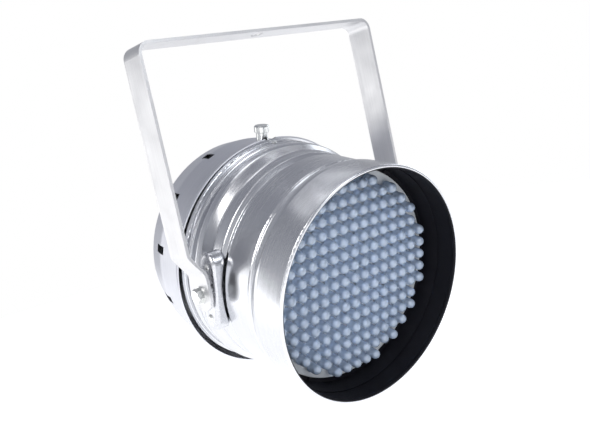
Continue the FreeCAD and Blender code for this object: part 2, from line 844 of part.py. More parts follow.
def make_hinge():
    """Two riveted leaves and a pin under the can: the cap swings down on them."""
    axis_y, axis_z = hinge_axis()
    sheet_t, half = S.hinge_sheet, S.hinge_width / 2
    middle = S.hinge_width / 6
    drum = -(S.drum_radius + 0.3)
    foot_y = S.flange_at - 5
    low_flange = -(S.flange_radius + 0.6)
    can_outline = [
        (S.drum_at - 6, drum),
        (S.drum_at + 5, drum),
        (foot_y, low_flange),
        (foot_y + 2.6, axis_z + 1),
        (foot_y + 1.1, axis_z + 1),
        (foot_y - sheet_t, low_flange - sheet_t * 0.8),
        (S.drum_at + 5, drum - sheet_t),
        (S.drum_at - 6, drum - sheet_t),
    ]
    knuckle = S.hinge_knuckle
    leaf = prism("hinge_leaf_can", "YZ", lambda s: draw_outline(s, can_outline), 2 * half, midplane=True)
    for way in (-1, 1):
        inner, outer = way * (middle - S.clearance), way * (half + 1)
        sides = (inner, outer) if way > 0 else (outer, inner)
        corners = ((sides[0], axis_z - 2), (sides[1], low_flange - 2.5))
        cut(leaf, "XZ", lambda s: draw_box(s, *corners), midplane=True)
    extrude_knuckle(leaf, axis_y, axis_z, knuckle, 2 * (middle - S.clearance))
    cut(leaf, "YZ", lambda s: draw_circle(s, (axis_y, axis_z), S.hinge_pin), midplane=True)
    rivet_holes(leaf, S.drum_at)
    in_can(leaf)
    node(leaf, "hinge_leaf_can")

    wall = -(S.cap_wall_radius + S.cap_drop)
    start = S.flange_at + S.cap_gap
    cap_outline = [
        (start + 31, wall + 0.6),
        (start + 12.5, wall - 0.2),
        (start + 8.6, wall - 2.7),
        (start + 1.2, wall - 6.4),
        (axis_y + 1.5, axis_z + 2),
        (axis_y + 1.5, axis_z + 0.3),
        (start + 2.2, wall - 8.3),
        (start + 9.2, wall - 4.4),
        (start + 12.5, wall - 1.9),
        (start + 31, wall - 1.1),
    ]
    other = prism("hinge_leaf_cap", "YZ", lambda s: draw_outline(s, cap_outline), 2 * half, midplane=True)
    extrude_knuckle(other, axis_y, axis_z, knuckle, 2 * half)
    gap = middle + S.clearance
    corners = ((-gap, axis_z - knuckle), (gap, wall - 1.9))
    cut(other, "XZ", lambda s: draw_box(s, *corners), 20, offset=-(axis_y + 10), reverse=True)
    bore = S.hinge_pin + 2 * S.running
    cut(other, "YZ", lambda s: draw_circle(s, (axis_y, axis_z), bore), midplane=True)
    rivet_holes(other, HINGE_CAP_RIVET_AT)
    in_can(other)
    node(other, "hinge_leaf_cap")

    pin = prism(
        "hinge_pin",
        "YZ",
        lambda s: draw_circle(s, (axis_y, axis_z), S.hinge_pin),
        2 * half + 2,
        midplane=True,
    )
    node(pin, "hinge_pin")
    on_cap = hinge_rivets("hinge_rivet_cap", as_size(HINGE_CAP_RIVET_AT), wall + 3.0, wall - 1.6)
    coded("hinge_rivets", Part.Compound(on_cap))
    on_can = hinge_rivets("hinge_rivet_can", S.drum_at, drum + 2.8, drum - sheet_t)
    coded("can_rivets", Part.Compound(plate_rivets() + tab_rivets() + on_can))


def extrude_knuckle(leaf, axis_y, axis_z, knuckle, length):
    sketch = new_sketch(leaf, "YZ")
    draw_circle(sketch, (axis_y, axis_z), knuckle)
    extrude(leaf, "Pad", sketch, length, midplane=True)


def rivet_holes(leaf, at):
    for x in hinge_rivet_places():
        centre = (x, at)
        cut(leaf, "XY", lambda s: draw_circle(s, centre, HINGE_RIVET), midplane=True)


def hinge_rivets(name, at, inside, outside):
    """A pair of rivets, heads under the leaf and tails inside the shell."""
    shank, head = HINGE_RIVET / 2, HINGE_RIVET * 0.9
    outline = [
        (at, outside - 1.2),
        (at + head * 0.6, outside - 1.0),
        (at + head, outside),
        (at + shank, outside),
        (at + shank, inside),
        (at + head * 0.8, inside),
        (at + head * 0.8, inside + 1),
        (at, inside + 1),
    ]
    source = turned(name, "YZ", outline, (at, 0), "v")
    return copies(source, shifts([(x, 0, 0) for x in hinge_rivet_places()]))


# ---------------------------------------------------------------- light source


def led_grid():
    """Centres of the LEDs: a square grid cut to a circle, (x, z)."""
    pitch = S.led_pitch.value
    reach = range(-7, 8)
    return [(k * pitch, j * pitch) for j in reach for k in reach if k * k + j * j <= LED_REACH]


def make_leds():
    """Clear domed LEDs on their legs, one node for each colour that they light up in."""
    tip = -S.led_tip_at
    base = tip + S.led_height
    board = -(S.board_at + S.board_thickness)
    radius = S.led_diameter / 2
    outline = [
        (tip, 0),
        (tip, radius),
        (base - 1, radius),
        (base - 1, radius + 0.5),
        (base, radius + 0.5),
        (base, 1.6),
        (board, 1.6),
        (board, 0),
    ]
    led = turned("led", "YZ", outline)
    round_edges(led, radius - 0.1, lambda e: near(e.CenterOfMass.y, tip))
    colours = ("red", "green", "blue")
    for i, colour in enumerate(colours):
        places = [(x, 0, z) for n, (x, z) in enumerate(led_grid()) if n % len(colours) == i]
        group(f"leds_{colour}", led, shifts(places))


def rod_places():
    """The four tie rods, (x, z)."""
    reach = S.rod_circle.value / math.sqrt(2)
    return [(x * reach, z * reach) for x in (-1, 1) for z in (-1, 1)]


def disc(name, diameter, rear, thickness, holes, place=in_can):
    """A round plate across the can, rear face at y = rear, with holes (x, z, diameter)."""
    def rim(s):
        draw_circle(s, (0, 0), diameter)

    plate = prism(name, "XZ", rim, thickness, offset=-rear, place=place)
    for x, z, hole in holes:
        cut(plate, "XZ", lambda s: draw_circle(s, (x, z), hole), midplane=True)
    return node(plate, name)


def make_light_source():
    spigot = S.rod - 1
    rods = [(x, z, spigot) for x, z in rod_places()]
    board_at, disc_t = -S.board_at, S.disc_thickness
    disc("led_board", 2 * S.board_radius, board_at, S.board_thickness, [])
    disc_rear = board_at + disc_t
    ring_holes = [(x, z, RING_SCREW) for x, z in ring_screw_places()]
    cable = [(0, CABLE_Z, CABLE + 1)]
    disc("mounting_disc", 2 * S.disc_radius, disc_rear, disc_t, rods + ring_holes + cable)

    foot = board_at.value
    outer = S.front_radius.value - S.can_wall.value - S.clearance.value
    foot_radius = S.disc_radius.value
    inner = S.board_radius.value + 0.7
    path = [(-S.ring_front_at.value, outer, 0), (foot, foot_radius, 1.4), (foot, inner, 0)]
    ring = spun_shell(path, S.ring_sheet.value)
    for x, z in ring_screw_places():
        ring = ring.cut(Part.makeCylinder(RING_SCREW / 2, 6, Vector(x, foot - 3, z), Vector(0, 1, 0)))
    coded("front_ring", ring)
    face = as_size(foot) - S.ring_sheet
    screw = [
        (face - 1.8, 0),
        (face - 1.8, 1.4),
        (face - 1.0, 2.0),
        (face, 2.0),
        (face, RING_SCREW / 2),
        (disc_rear + 1, RING_SCREW / 2),
        (disc_rear + 1, 0),
    ]
    source = turned("ring_screw", "YZ", screw)
    group("ring_screws", source, shifts([(x, 0, z) for x, z in ring_screw_places()]))

    chassis = chassis_front()
    end = chassis + S.chassis_sheet
    half, small = S.rod / 2, spigot / 2
    rod = [
        (disc_rear - disc_t, 0),
        (disc_rear - disc_t, small),
        (disc_rear, small),
        (disc_rear, half),
        (chassis, half),
        (chassis, small),
        (end + 6, small),
        (end + 6, 0),
    ]
    places = shifts([(x, 0, z) for x, z in rod_places()])
    rods = copies(turned("tie_rod", "YZ", rod), places)
    nut = prism("rod_nut", "XZ", lambda s: draw_hexagon(s, (as_size(0), 0), 7), 3.2, offset=-(end + 3.2))
    cut(nut, "XZ", lambda s: draw_circle(s, (0, 0), spigot), midplane=True)
    coded("tie_rods", Part.Compound(rods + copies(nut, places)))


def ring_screw_places():
    """Six screws round the foot of the front ring, (x, z)."""
    middle = (S.board_radius.value + 0.7 + S.disc_radius.value) / 2 - 0.8
    turns = [math.radians(30 + 60 * i) for i in range(6)]
    return [(middle * math.sin(turn_by), middle * math.cos(turn_by)) for turn_by in turns]


# ---------------------------------------------------------------- inside the can


def chassis_front():
    """Where the chassis plate's front face meets the inside of the deep groove."""
    return S.deep_groove_at + 4.6


def make_inside():
    front = chassis_front()
    back = front + S.chassis_sheet
    rods = [(x, z, S.rod - 1) for x, z in rod_places()]
    holes = rods + [(0, CABLE_Z, CABLE + 4)]
    disc("chassis_plate", 2 * S.chassis_radius, back, S.chassis_sheet, holes)

    # grommet and cable between the boards
    lip = CABLE / 2 + 3.5
    grommet = [
        (front - 1.2, CABLE / 2),
        (back + 1.2, CABLE / 2),
        (back + 1.2, lip),
        (back, lip),
        (back, CABLE / 2 + 2),
        (front, CABLE / 2 + 2),
        (front, lip),
        (front - 1.2, lip),
    ]
    raised = [(u, v + CABLE_Z) for u, v in grommet]
    node(turned("cable_grommet", "YZ", raised, (0, CABLE_Z)), "cable_grommet")
    driver = back + S.spacer_height
    start = -S.board_at
    cable = prism(
        "led_cable", "XZ", lambda s: draw_circle(s, (0, CABLE_Z), CABLE), driver - start, offset=-driver
    )
    node(cable, "led_cable")

    # power supply case: folded tray and slotted lid
    half, depth, wall = S.supply_length / 2, S.supply_depth, S.supply_sheet
    floor_z, top_z = as_size(SUPPLY_Z), SUPPLY_Z + S.supply_width
    tray = prism(
        "supply_tray",
        "XZ",
        lambda s: draw_box(s, (-half, floor_z), (half, top_z)),
        depth,
        offset=-(back + depth),
    )
    inner = ((-half + wall, floor_z + wall), (half - wall, top_z - wall))
    cut(tray, "XZ", lambda s: draw_box(s, *inner), depth - wall, offset=-(back + depth), reverse=True)
    node(tray, "supply_tray")
    lid = prism(
        "supply_lid",
        "XZ",
        lambda s: draw_box(s, (-half, floor_z), (half, top_z)),
        wall,
        offset=-(back + depth + wall),
    )
    for i in range(9):
        x = -40 + 10 * i
        slot = ((x - 1.5, floor_z + 16), (x + 1.5, top_z - 16))
        cut(lid, "XZ", lambda s: draw_box(s, *slot), midplane=True)
    node(lid, "supply_lid")
    # driver board on snap-in spacers, and its heat sink
    half = S.driver_length / 2
    low, high = DRIVER_Z - S.driver_width / 2, DRIVER_Z + S.driver_width / 2
    board = slab("driver_board", (-half, driver, low), (half, driver + 1.6, high))
    head = driver + 1.6
    outline = [
        (back, 0),
        (back, 3),
        (driver, 3),
        (driver, 1.5),
        (head, 1.5),
        (head, 2.3),
        (head + 2, 1.2),
        (head + 2, 0),
    ]
    x, dz = half.value - 5, S.driver_width.value / 2 - 5
    corners = [(i * x, 0, DRIVER_Z + j * dz) for i in (-1, 1) for j in (-1, 1)]
    for x, y, z in corners:
        cut(board, "XZ", lambda s: draw_circle(s, (x, z), 3.0), midplane=True)
    group("driver_spacers", turned("driver_spacer", "YZ", outline), shifts(corners))
    make_heat_sink(head)


def slab(name, low, high, place=in_can):
    """A plain rectangular piece between two corners."""
    offset = -as_size(high[1])
    face = ((low[0], low[2]), (high[0], high[2]))
    depth = as_size(high[1]) - low[1]
    piece = prism(name, "XZ", lambda s: draw_box(s, *face), depth, offset=offset, place=place)
    return node(piece, name)


def make_heat_sink(face):
    """Finned extrusion on the driver board: fins stand towards the rear."""
    fins, pitch = 7, 5.0
    base, tall, fin = 3.0, 16.0, 1.6
    left = -S.driver_length / 2 + 12
    low = as_size(DRIVER_Z) - 18
    outline = [(left, face), (left, face + tall)]
    for i in range(fins):
        root_x = left + i * pitch
        outline.append((root_x + fin, face + tall))
        if i < fins - 1:
            outline.append((root_x + fin, face + base))
            outline.append((root_x + pitch, face + base))
            outline.append((root_x + pitch, face + tall))
    outline.append((left + (fins - 1) * pitch + fin, face))
    sink = prism("heat_sink", "XY", lambda s: draw_outline(s, outline), 26, offset=low)
    node(sink, "heat_sink")


# ---------------------------------------------------------------- control panel


def socket_places():
    """Left edge of the panel outwards: DMX input, then DMX output, x only."""
    return (SOCKET_IN_X, SOCKET_IN_X + S.socket_spacing.value)


def socket_screw_places():
    """Two screws at opposite corners of each socket's flange, (x, z)."""
    dx = S.socket_flange_width.value / 2 - 3.5
    dz = S.socket_flange_height.value / 2 - 3.5
    return [(x + way * dx, -way * dz) for x in socket_places() for way in (-1, 1)]


def panel_back():
    return S.cap_end_at + S.panel_sheet


def make_panel():
    rear = panel_back()
    half_w, half_h = S.panel_width / 2, S.panel_height / 2
    panel = prism(
        "control_panel",
        "XZ",
        lambda s: draw_box(s, (-half_w, -half_h), (half_w, half_h)),
        S.panel_sheet,
        offset=-rear,
        place=in_cap,
    )
    holes = [(x, 0, S.socket_bore) for x in socket_places()]
    holes += [(SIDE_X, GLAND_Z, S.gland_hole + 2 * S.clearance), (SIDE_X, FUSE_Z, S.fuse_hole)]
    holes += [(x, z, PANEL_SCREW) for x, z in panel_screw_places() + socket_screw_places()]
    for x, z, size in holes:
        cut(panel, "XZ", lambda s: draw_circle(s, (x, z), size), midplane=True)
    wide, tall = dip_half()
    window = ((DIP_X - wide - 0.2, -(tall + 0.2)), (DIP_X + wide + 0.2, tall + 0.2))
    cut(panel, "XZ", lambda s: draw_box(s, *window), midplane=True)
    node(panel, "control_panel")

    screw = [
        (rear + 1.7, 0),
        (rear + 1.7, 1.6),
        (rear + 0.9, 2.5),
        (rear, 2.5),
        (rear, PANEL_SCREW / 2),
        (rear - 8, PANEL_SCREW / 2),
        (rear - 8, 0),
    ]
    source = turned("panel_screw", "YZ", screw, place=in_cap)
    places = [(x, 0, z) for x, z in panel_screw_places()]
    places += [(x, S.socket_flange.value, z) for x, z in socket_screw_places()]
    group("panel_screws", source, shifts(places), in_cap)


def dip_half():
    """Half the DIP switch's width and height."""
    return SLIDERS * S.slider_pitch / 2 + 1, as_size(4.9)


def make_dip_switch():
    """Address switch: one housing with ten small sliders, each in its own slot."""
    wide, tall = dip_half()
    face = panel_back() - 0.2
    body = prism(
        "dip_switch",
        "XZ",
        lambda s: draw_box(s, (DIP_X - wide, -tall), (DIP_X + wide, tall)),
        6.4,
        offset=-face,
        place=in_cap,
    )
    travel = S.slider_travel + SLIDER_TALL
    half = S.slider_width / 2
    for i in range(SLIDERS):
        x = DIP_X + (i - (SLIDERS - 1) / 2) * S.slider_pitch
        slot_w = half + S.running
        slot = ((x - slot_w, -(travel / 2 + S.running)), (x + slot_w, travel / 2 + S.running))
        cut(body, "XZ", lambda s: draw_box(s, *slot), 2.2, offset=-(face + 0.1), reverse=True)
        low = -(travel / 2)
        slider = prism(
            f"dip_slider_{i + 1:02d}",
            "XZ",
            lambda s: draw_box(s, (x - half, low), (x + half, low + SLIDER_TALL)),
            2.0 + 0.6,
            offset=-(face + 0.6),
            place=in_cap,
        )
        node(slider, f"dip_slider_{i + 1:02d}")
    node(body, "dip_switch")

    board = face - 6.4
    slab("control_board", (DIP_X - 18, board - 1.6, -22), (DIP_X + 18, board, 22), in_cap)
    inside = S.cap_end_at
    tube = [(board, 1.2), (inside, 1.2), (inside, 2.6), (board, 2.6)]
    spacer = turned("board_spacer", "YZ", tube, place=in_cap)
    corners = [(DIP_X + i * 14, 0, j * 18) for i in (-1, 1) for j in (-1, 1)]
    group("board_spacers", spacer, shifts(corners), in_cap)


def make_sockets():
    """Three-pole data sockets: flanged shells, one with pins, one with contacts and a latch."""
    rear, depth = panel_back(), S.socket_depth
    half_w, half_h = S.socket_flange_width / 2, S.socket_flange_height / 2
    barrel = S.socket_bore - 2 * S.clearance
    mouth = barrel - 4.6
    shell_in, shell_out = socket_places()

    def shell(name, x):
        body = prism(
            name,
            "XZ",
            lambda s: draw_box(s, (x - half_w, -half_h), (x + half_w, half_h)),
            S.socket_flange,
            offset=-(rear + S.socket_flange),
            place=in_cap,
        )
        round_edges(body, 3, along_y)
        sketch = new_sketch(body, "XZ", -(rear + 0.5))
        draw_circle(sketch, (x, 0), barrel)
        extrude(body, "Pad", sketch, depth + 0.5)
        return body

    back = -(rear + S.socket_flange)
    male = shell("dmx_input", shell_in)
    cut(male, "XZ", lambda s: draw_circle(s, (shell_in, 0), mouth), depth, offset=back, reverse=True)
    node(male, "dmx_input")
    floor = rear + S.socket_flange - depth
    places = [(3.6, 2.2), (-3.6, 2.2), (0, -3.8)]
    pin = turned(
        "dmx_pin",
        "YZ",
        [(floor, 0), (floor, 1.2), (rear - 4.4, 1.2), (rear - 3.4, 0.6), (rear - 3.4, 0)],
        place=in_cap,
    )
    group("dmx_pins", pin, shifts([(shell_in + x, 0, z) for x, z in places]), in_cap)

    female = shell("dmx_output", shell_out)

    def ring(s):
        draw_circle(s, (shell_out, 0), mouth)
        draw_circle(s, (shell_out, 0), mouth - 3.6)

    cut(female, "XZ", ring, depth - 5, offset=back, reverse=True)
    for x, z in places:
        contact = (shell_out + x, z)
        cut(female, "XZ", lambda s: draw_circle(s, contact, 2.6), depth - 6, offset=back, reverse=True)
    top = half_h - 5.2
    window = ((shell_out - 3.1, top), (shell_out + 3.1, top + 4.2))
    cut(female, "XZ", lambda s: draw_box(s, *window), 2.5, offset=back, reverse=True)
    node(female, "dmx_output")
    tab = [(corner[0] + way * 0.1, corner[1] + way * 0.1) for way, corner in zip((1, -1), window)]
    press = prism(
        "dmx_release",
        "XZ",
        lambda s: draw_box(s, *tab),
        2.4,
        offset=back - 1.4,
        place=in_cap,
    )
    node(press, "dmx_release")

    for body, holes in ((male, socket_screw_places()[:2]), (female, socket_screw_places()[2:])):
        for hole in holes:
            cut(body, "XZ", lambda s: draw_circle(s, hole, PANEL_SCREW), 6, offset=back, reverse=True)


def make_gland():
    """Cable gland: threaded body, rubber seal, dome nut and lock nut inside."""
    rear, x = panel_back(), SIDE_X
    thread, bore = S.gland_hole / 2, S.gland_cable / 2

    def gland_turned(name, outline):
        moved = [(u, v + GLAND_Z) for u, v in outline]
        piece = turned(name, "YZ", moved, (0, GLAND_Z), place=in_cap)
        return group(name, piece, shifts([(x, 0, 0)]), in_cap)

    seat = bore + 0.4
    gland_turned(
        "gland_body",
        [
            (rear - 10, seat),
            (rear - 10, thread),
            (rear, thread),
            (rear, thread + 3.2),
            (rear + 4.5, thread + 3.2),
            (rear + 4.5, thread),
            (rear + 12, thread),
            (rear + 12, bore + 1.6),
            (rear + 4, bore + 1.6),
            (rear + 4, seat),
        ],
    )
    gland_turned(
        "gland_seal",
        [(rear + 4, bore), (rear + 4, bore + 1.6), (rear + 13, bore + 1.6), (rear + 13, bore)],
    )
    gland_turned(
        "gland_nut",
        [
            (rear + 5, thread + S.running),
            (rear + 5, thread + 3.2),
            (rear + 12.5, thread + 3.2),
            (rear + 16.5, thread),
            (rear + 16.5, bore + 0.3),
            (rear + 13, bore + 0.3),
            (rear + 13, thread + S.running),
        ],
    )
    inside = S.cap_end_at
    lock = prism(
        "gland_locknut",
        "XZ",
        lambda s: draw_hexagon(s, (as_size(x), GLAND_Z), 17),
        3,
        offset=-inside,
        place=in_cap,
    )
    cut(lock, "XZ", lambda s: draw_circle(s, (x, GLAND_Z), S.gland_hole + 0.1), midplane=True)
    node(lock, "gland_locknut")


def make_fuse():
    """Panel fuse holder with its glass fuse and quarter-turn cap."""
    rear, x = panel_back(), SIDE_X
    barrel = S.fuse_hole / 2 - S.clearance

    def fuse_turned(name, outline):
        moved = [(u, v + FUSE_Z) for u, v in outline]
        piece = turned(name, "YZ", moved, (0, FUSE_Z), place=in_cap)
        return piece, group(name, piece, shifts([(x, 0, 0)]), in_cap)

    fuse_turned(
        "fuse_holder",
        [
            (rear - 24, 0),
            (rear - 24, barrel),
            (rear, barrel),
            (rear, barrel + 2.2),
            (rear + 2.5, barrel + 2.2),
            (rear + 2.5, barrel - 1.1),
            (rear - 22.5, barrel - 1.1),
            (rear - 22.5, 0),
        ],
    )
    fuse_turned("fuse", [(rear - 22.3, 0), (rear - 22.3, 2.6), (rear - 2.3, 2.6), (rear - 2.3, 0)])
    stem = barrel - 1.1 - S.running
    fuse_turned(
        "fuse_cap",
        [
            (rear - 6, 2.7),
            (rear - 6, stem),
            (rear + 2.6, stem),
            (rear + 2.6, barrel + 0.6),
            (rear + 7.5, barrel),
            (rear + 7.5, 0),
            (rear - 2.1, 0),
            (rear - 2.1, 2.7),
        ],
    )


make_yoke()
make_can()
make_side_plate()
make_tilt_joint()
make_cap()
make_cap_fixing()
make_hinge()
make_leds()
make_light_source()
make_inside()
make_panel()
make_dip_switch()
make_sockets()
make_gland()
make_fuse()


# ---------------------------------------------------------------- checks and export


def write_parts():
    """Checks every object and writes each sub-part to its own file."""
    doc.recompute()
    for thing in doc.Objects:
        if {"Invalid", "Error"} & set(thing.State):
            raise RuntimeError(f"{thing.Name} did not compute: {thing.State}")
    os.makedirs("parts", exist_ok=True)
    for part in NODES:
        if part.Shape.isNull() or not part.Shape.isValid() or not part.Shape.Solids:
            raise RuntimeError(f"{part.Label} has no valid solid")
        part.Shape.exportStep(f"parts/{part.Label}.step")
        print(part.Label, len(part.Shape.Solids), round(part.Shape.Volume))


write_parts()
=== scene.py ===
"""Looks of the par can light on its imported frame: materials, detailed LEDs, studio and camera."""

import json
import math

import bpy
from mathutils import Matrix, Vector


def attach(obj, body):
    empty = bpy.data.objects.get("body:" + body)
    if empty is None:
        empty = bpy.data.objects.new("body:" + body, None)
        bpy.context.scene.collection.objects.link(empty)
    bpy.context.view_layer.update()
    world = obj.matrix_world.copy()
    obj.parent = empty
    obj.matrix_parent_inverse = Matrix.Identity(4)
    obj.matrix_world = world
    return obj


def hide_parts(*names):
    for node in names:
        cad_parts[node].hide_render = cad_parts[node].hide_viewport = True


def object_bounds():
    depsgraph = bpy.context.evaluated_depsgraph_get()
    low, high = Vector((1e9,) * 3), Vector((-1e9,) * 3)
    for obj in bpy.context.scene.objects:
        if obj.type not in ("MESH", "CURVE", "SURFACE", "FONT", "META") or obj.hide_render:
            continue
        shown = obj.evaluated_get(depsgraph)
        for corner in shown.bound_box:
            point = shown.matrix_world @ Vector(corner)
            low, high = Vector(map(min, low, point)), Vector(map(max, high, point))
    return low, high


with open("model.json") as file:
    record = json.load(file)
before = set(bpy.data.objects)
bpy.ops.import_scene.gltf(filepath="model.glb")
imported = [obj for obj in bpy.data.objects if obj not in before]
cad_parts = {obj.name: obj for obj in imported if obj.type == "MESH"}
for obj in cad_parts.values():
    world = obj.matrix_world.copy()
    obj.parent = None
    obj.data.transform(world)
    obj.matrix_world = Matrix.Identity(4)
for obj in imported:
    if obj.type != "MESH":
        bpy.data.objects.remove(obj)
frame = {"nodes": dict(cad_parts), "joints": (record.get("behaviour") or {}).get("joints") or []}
CAD_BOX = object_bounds()
NODES = frame["nodes"]
JOINTS = {joint["name"]: joint for joint in frame["joints"]}
PIVOT = Vector(JOINTS["tilt"]["pos_m"])
CAN_UP = Vector(JOINTS["cap_screw_turn"]["axis"])
TILT = math.atan2(-CAN_UP.y, CAN_UP.z)
CAN_TO_ROW = Matrix.Translation(PIVOT) @ Matrix.Rotation(TILT, 4, "X")
MM = 0.001

# LED pieces, their places counted from the base flange towards the tip
LED_HEIGHT = 13 * MM
LED_RIM = 1 * MM
LED_RIM_STEP = 0.5 * MM
LED_LEG_APART = 1.27 * MM
CUP_FOOT = 5.6 * MM
CUP_WALL = [(5.6, 0.9), (6.4, 1.3), (7.6, 1.9), (7.2, 1.35), (6.7, 0.5)]

# studio and camera, in metres, degrees and millimetres of lens
FLOOR_BELOW = 0.16
FLOOR_HALF = 2.4
CAMERA_PLACE = (-0.46039, -0.61754, -0.11547)
CAMERA_TURN = (84.3175, 12.4135, -37.7978)
CAMERA_LENS = 46.02
CAMERA_SENSOR = 36


# ---------------------------------------------------------------- node trees


class Paint:
    """One Principled material, with short ways to add and join nodes."""

    def __init__(self, name, colour, metallic=0.0, roughness=0.5, **sockets):
        self.material = bpy.data.materials.new(name)
        self.material.use_nodes = True
        self.tree = self.material.node_tree
        self.shader = self.tree.nodes["Principled BSDF"]
        self.shader.inputs["Base Color"].default_value = (*colour, 1)
        self.shader.inputs["Metallic"].default_value = metallic
        self.shader.inputs["Roughness"].default_value = roughness
        for socket, value in sockets.items():
            self.shader.inputs[socket.replace("_", " ")].default_value = value
        self.rest = self.add("ShaderNodeTexCoord").outputs["Object"]

    def add(self, kind, inputs=None, **settings):
        node = self.tree.nodes.new(kind)
        for key, value in settings.items():
            setattr(node, key, value)
        for key, value in (inputs or {}).items():
            if isinstance(value, bpy.types.NodeSocket):
                self.tree.links.new(value, node.inputs[key])
            else:
                node.inputs[key].default_value = value
        return node

    def maths(self, operation, a, b=0.0, c=0.0):
        return self.add("ShaderNodeMath", {0: a, 1: b, 2: c}, operation=operation).outputs[0]

    def vector(self, operation, a, b=(0, 0, 0)):
        return self.add("ShaderNodeVectorMath", {0: a, 1: b}, operation=operation).outputs[0]

    def join(self, x, y, z):
        return self.add("ShaderNodeCombineXYZ", {"X": x, "Y": y, "Z": z}).outputs[0]

    def split(self, vector):
        node = self.add("ShaderNodeSeparateXYZ", {0: vector})
        return [node.outputs[i] for i in range(3)]

    def noise(self, vector, scale, detail=3.0, roughness=0.55):
        node = self.add(
            "ShaderNodeTexNoise",
            {"Vector": vector, "Scale": scale, "Detail": detail, "Roughness": roughness},
        )
        return node.outputs["Fac"]

    def span(self, value, low, high, from_low=0.3, from_high=0.7):
        """Maps a noise value on to low..high."""
        node = self.add(
            "ShaderNodeMapRange",
            {"Value": value, "From Min": from_low, "From Max": from_high, "To Min": low, "To Max": high},
        )
        return node.outputs["Result"]

    def blend(self, factor, first, second):
        node = self.add("ShaderNodeMix", data_type="RGBA")
        for index, value in ((0, factor), (6, first), (7, second)):
            if isinstance(value, bpy.types.NodeSocket):
                self.tree.links.new(value, node.inputs[index])
            else:
                node.inputs[index].default_value = value if index == 0 else (*value, 1)
        return node.outputs[2]

    def set(self, socket, value):
        self.tree.links.new(value, self.shader.inputs[socket])

    def bump(self, height, distance, strength=1.0, under=None):
        inputs = {"Height": height, "Distance": distance, "Strength": strength}
        if under is not None:
            inputs["Normal"] = under
        return self.add("ShaderNodeBump", inputs).outputs["Normal"]

    def can_frame(self, drop=0.0):
        """Rest position in the can's own frame: Y along the can's axis."""
        moved = self.vector("SUBTRACT", self.rest, tuple(PIVOT))
        turned = self.add(
            "ShaderNodeVectorRotate", {"Vector": moved, "Angle": -TILT}, rotation_type="X_AXIS"
        ).outputs[0]
        return self.vector("ADD", turned, (0, 0, drop))

    def polar(self, position):
        """(along the axis, distance from it, angle round it)."""
        x, y, z = self.split(position)
        squares = self.maths("ADD", self.maths("MULTIPLY", x, x), self.maths("MULTIPLY", z, z))
        radius = self.maths("SQRT", squares)
        return y, radius, self.maths("ARCTAN2", x, z)


def spun_metal(name, colour, roughness, drop=0.0, line=0.35, sheen=0.6):
    """Metal spun on a lathe: fine rings round the axis, soft smudges, a few rubbed bands."""
    paint = Paint(name, colour, metallic=1.0, roughness=roughness, Anisotropic=sheen)
    along, radius, angle = paint.polar(paint.can_frame(drop))
    rings = paint.join(along, radius, paint.maths("MULTIPLY", angle, 0.0004))
    fine = paint.noise(rings, 2600, 4.0, 0.7)
    broad = paint.noise(rings, 240, 3.0)
    smudge = paint.noise(paint.rest, 22, 5.0, 0.6)
    speck = paint.noise(paint.rest, 420, 2.0)
    dull = tuple(channel * 0.86 for channel in colour)
    tone = paint.blend(paint.span(broad, 0.0, 0.5), colour, dull)
    tone = paint.blend(paint.span(smudge, 0.0, 0.35, 0.45, 0.75), tone, (0.62, 0.63, 0.66))
    paint.set("Base Color", tone)
    worn = paint.span(smudge, roughness - 0.04, roughness + 0.07)
    paint.set("Roughness", paint.maths("ADD", paint.span(fine, -0.05, 0.06), worn))
    height = paint.maths("ADD", paint.maths("MULTIPLY", fine, 0.6), paint.maths("MULTIPLY", broad, 0.9))
    height = paint.maths("ADD", height, paint.maths("MULTIPLY", speck, 0.12))
    paint.set("Normal", paint.bump(height, 0.00006, line))
    tangent = paint.add("ShaderNodeTangent", direction_type="RADIAL", axis="Y").outputs[0]
    paint.set("Tangent", tangent)
    return paint.material


def brushed_metal(name, colour, roughness, stretch=(1, 1, 1), scale=900, grain=0.3):
    """Drawn or rolled metal: grain stretched one way, faint scratches and handling marks."""
    paint = Paint(name, colour, metallic=1.0, roughness=roughness)
    drawn = paint.vector("MULTIPLY", paint.rest, stretch)
    fine = paint.noise(drawn, scale, 5.0, 0.65)
    marks = paint.noise(paint.rest, 34, 6.0, 0.62)
    pits = paint.noise(paint.rest, 700, 2.0)
    dull = tuple(channel * 0.82 for channel in colour)
    tone = paint.blend(paint.span(fine, 0.0, 0.45), colour, dull)
    paint.set("Base Color", paint.blend(paint.span(marks, 0.0, 0.3, 0.5, 0.8), tone, dull))
    worn = paint.span(marks, roughness - 0.04, roughness + 0.09)
    paint.set("Roughness", paint.maths("ADD", paint.span(fine, -0.06, 0.06), worn))
    height = paint.maths("ADD", fine, paint.maths("MULTIPLY", pits, 0.35))
    paint.set("Normal", paint.bump(height, 0.00005, grain))
    return paint.material


def moulded(name, colour, roughness, texture=1400, depth=0.00004, metallic=0.0, **sockets):
    """Moulded or painted surface: fine spark texture, slight shade and gloss changes."""
    paint = Paint(name, colour, metallic=metallic, roughness=roughness, **sockets)
    fine = paint.noise(paint.rest, texture, 4.0)
    cloud = paint.noise(paint.rest, 60, 4.0)
    light = tuple(min(1.0, channel * 1.25 + 0.004) for channel in colour)
    paint.set("Base Color", paint.blend(paint.span(cloud, 0.0, 0.6), colour, light))
    worn = paint.span(cloud, roughness - 0.05, roughness + 0.05)
    paint.set("Roughness", paint.maths("ADD", paint.span(fine, -0.07, 0.07), worn))
    paint.set("Normal", paint.bump(fine, depth, 0.6))
    return paint.material


